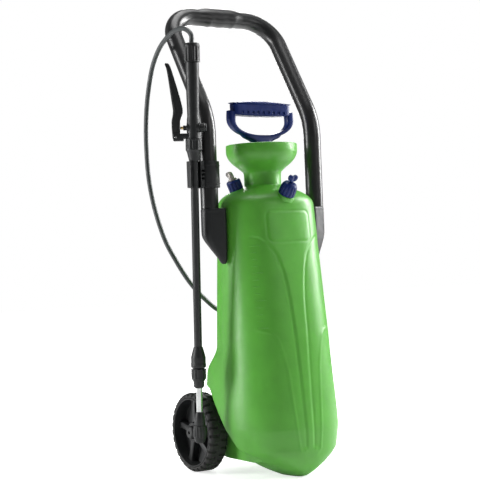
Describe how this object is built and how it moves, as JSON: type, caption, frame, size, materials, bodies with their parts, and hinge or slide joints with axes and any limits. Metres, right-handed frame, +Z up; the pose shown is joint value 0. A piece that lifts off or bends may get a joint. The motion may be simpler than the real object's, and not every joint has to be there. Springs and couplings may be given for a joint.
{
  "type": "trolley pressure sprayer",
  "caption": "Upright moulded pressure tank on wheels with a filling funnel, D-handled hand pump, bent tube handle frame and a trigger lance on a free hose.",
  "frame": {"origin": "on the floor, under the pump's axis", "axes": "+Z up, -Y towards the tank's curved front, +X towards the tank's own right as seen from the front; the wheels are behind, on +Y"},
  "size_m": [0.3349, 0.3029, 0.8996],
  "materials": {
    "tank_green": "blow-moulded polyethylene, satin",
    "fitting_blue": "moulded, half gloss",
    "moulded_black": "moulded, fine texture",
    "frame_black": "powder coat, half gloss",
    "tyre_black": "moulded tread",
    "seal_rubber": "soft, matt",
    "bright_steel": "bright zinc or stainless",
    "valve_brass": "turned",
    "natural_plastic": "unpigmented",
    "hose_grey": "smooth flexible hose"
  },
  "bodies": {
    "body": {"tank": "tank_green", "left_bracket": "moulded_black", "right_bracket": "moulded_black", "left_bracket_screw_upper": "bright_steel", "left_bracket_screw_lower": "bright_steel", "right_bracket_screw_upper": "bright_steel", "right_bracket_screw_lower": "bright_steel", "frame_tube": "frame_black", "lance_clip": "moulded_black", "axle": "bright_steel", "axle_saddle": "moulded_black", "saddle_screw_left": "bright_steel", "saddle_screw_right": "bright_steel", "left_hub_cap": "moulded_black", "right_hub_cap": "moulded_black", "outlet_nut": "fitting_blue", "outlet_elbow": "bright_steel", "outlet_seal": "seal_rubber", "dip_tube": "natural_plastic", "dip_filter": "natural_plastic", "relief_body": "fitting_blue", "relief_seal": "seal_rubber", "relief_spring": "bright_steel", "hose": "hose_grey"},
    "left_wheel": {"left_tyre": "tyre_black", "left_wheel": "moulded_black"},
    "right_wheel": {"right_tyre": "tyre_black", "right_wheel": "moulded_black"},
    "pump_seal": {"pump_seal_ring": "seal_rubber"},
    "pump": {"pump_head": "moulded_black", "pump_barrel": "natural_plastic", "foot_valve": "seal_rubber"},
    "plunger": {"pump_rod": "bright_steel", "piston": "natural_plastic", "piston_ring": "seal_rubber", "pump_handle": "fitting_blue", "handle_cover": "fitting_blue"},
    "relief_pull": {"relief_knob": "fitting_blue"},
    "wand": {"hose_nut": "moulded_black", "hose_spigot": "moulded_black", "wand_body": "moulded_black", "valve_cap": "moulded_black", "trigger_pin": "bright_steel", "union_nut": "moulded_black", "lance_tube": "moulded_black", "collet_body": "moulded_black", "collet_ring": "seal_rubber", "valve_spring": "bright_steel"},
    "trigger": {"trigger": "moulded_black"},
    "valve": {"valve_pin": "valve_brass"},
    "collet_nut": {"collet_nut": "moulded_black"},
    "inner_lance": {"inner_tube": "bright_steel", "nozzle_body": "moulded_black"},
    "nozzle": {"nozzle_cap": "moulded_black"}
  },
  "joints": [
    {"name": "left_wheel_spin", "type": "hinge", "parent": "body", "child": "left_wheel", "pos_m": [-0.1018, 0.0984, 0.075], "axis": [1, 0, 0], "continuous": true},
    {"name": "right_wheel_spin", "type": "hinge", "parent": "body", "child": "right_wheel", "pos_m": [0.1018, 0.0984, 0.075], "axis": [1, 0, 0], "continuous": true},
    {"name": "pump_lift_out", "type": "slide", "parent": "body", "child": "pump_seal", "axis": [0, 0, 1], "range_m": [0, 0.46]},
    {"name": "pump_unscrew", "type": "hinge", "parent": "pump_seal", "child": "pump", "pos_m": [0, 0, 0.58], "axis": [0, 0, 1], "range_deg": [0, 360]},
    {"name": "pump_stroke", "type": "slide", "parent": "pump", "child": "plunger", "axis": [0, 0, 1], "range_m": [0, 0.25]},
    {"name": "relief_pull", "type": "slide", "parent": "body", "child": "relief_pull", "axis": [0.0803, -0.5621, 0.8231], "range_m": [0, 0.0035], "stiffness_N_per_m": 1500, "deforming": ["relief_spring"]},
    {"name": "wand_release", "type": "slide", "parent": "body", "child": "wand", "axis": [0, -0.9995, -0.032], "range_m": [0, 0.12]},
    {"name": "trigger_squeeze", "type": "hinge", "parent": "wand", "child": "trigger", "pos_m": [-0.18136, 0.00778, 0.62825], "axis": [0.5593, 0.8285, 0.0265], "range_deg": [0, 7], "stiffness_Nm_per_rad": 0.6},
    {"name": "valve_push", "type": "slide", "parent": "wand", "child": "valve", "axis": [0.829, -0.559, -0.0179], "range_m": [0, 0.0022], "stiffness_N_per_m": 150, "deforming": ["valve_spring"]},
    {"name": "collet_turn", "type": "hinge", "parent": "wand", "child": "collet_nut", "pos_m": [-0.155, 0.00402, 0.1899], "axis": [0, -0.032, 0.9995], "range_deg": [0, 180]},
    {"name": "lance_extend", "type": "slide", "parent": "wand", "child": "inner_lance", "axis": [0, 0.032, -0.9995], "range_m": [0, 0.32]},
    {"name": "nozzle_turn", "type": "hinge", "parent": "inner_lance", "child": "nozzle", "pos_m": [-0.155, 0.00738, 0.08496], "axis": [0, -0.032, 0.9995], "range_deg": [0, 360]}
  ],
  "couplings": [
    {"joint": "valve_push", "follows": "trigger_squeeze", "m_per_rad": 0.017}
  ]
}
